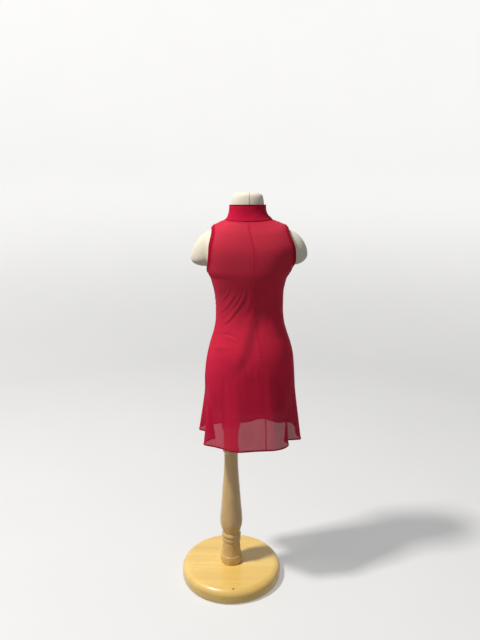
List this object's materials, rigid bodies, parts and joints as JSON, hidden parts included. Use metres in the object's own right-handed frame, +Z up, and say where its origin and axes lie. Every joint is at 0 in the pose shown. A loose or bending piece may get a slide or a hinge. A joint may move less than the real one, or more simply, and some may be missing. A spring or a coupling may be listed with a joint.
{
  "type": "sleeveless mesh dress on a dress form",
  "caption": "Sleeveless A-line mesh dress with a mock-neck collar and centre back seam, standing on a limbless child-size dress form with a turned wooden stand.",
  "frame": {"origin": "centre of the round base's flat underside", "axes": "+Z up along the pole; -Y towards the garment's back; -X towards the wearer's left"},
  "size_m": [0.3615, 0.3, 1.156],
  "materials": {
    "red_mesh": "sheer stretch power mesh, matt with a slight sheen",
    "cream_jersey": "stretched cream jersey cover, matt",
    "pale_wood": "turned beech, satin clear varnish"
  },
  "bodies": {
    "root": {"front_panel": "red_mesh", "back_panel_left": "red_mesh", "back_panel_right": "red_mesh", "collar": "red_mesh", "armhole_band_left": "red_mesh", "armhole_band_right": "red_mesh", "dress_form": "cream_jersey", "stand_knob": "pale_wood", "stand_pole": "pale_wood", "stand_base": "pale_wood"}
  },
  "joints": []
}
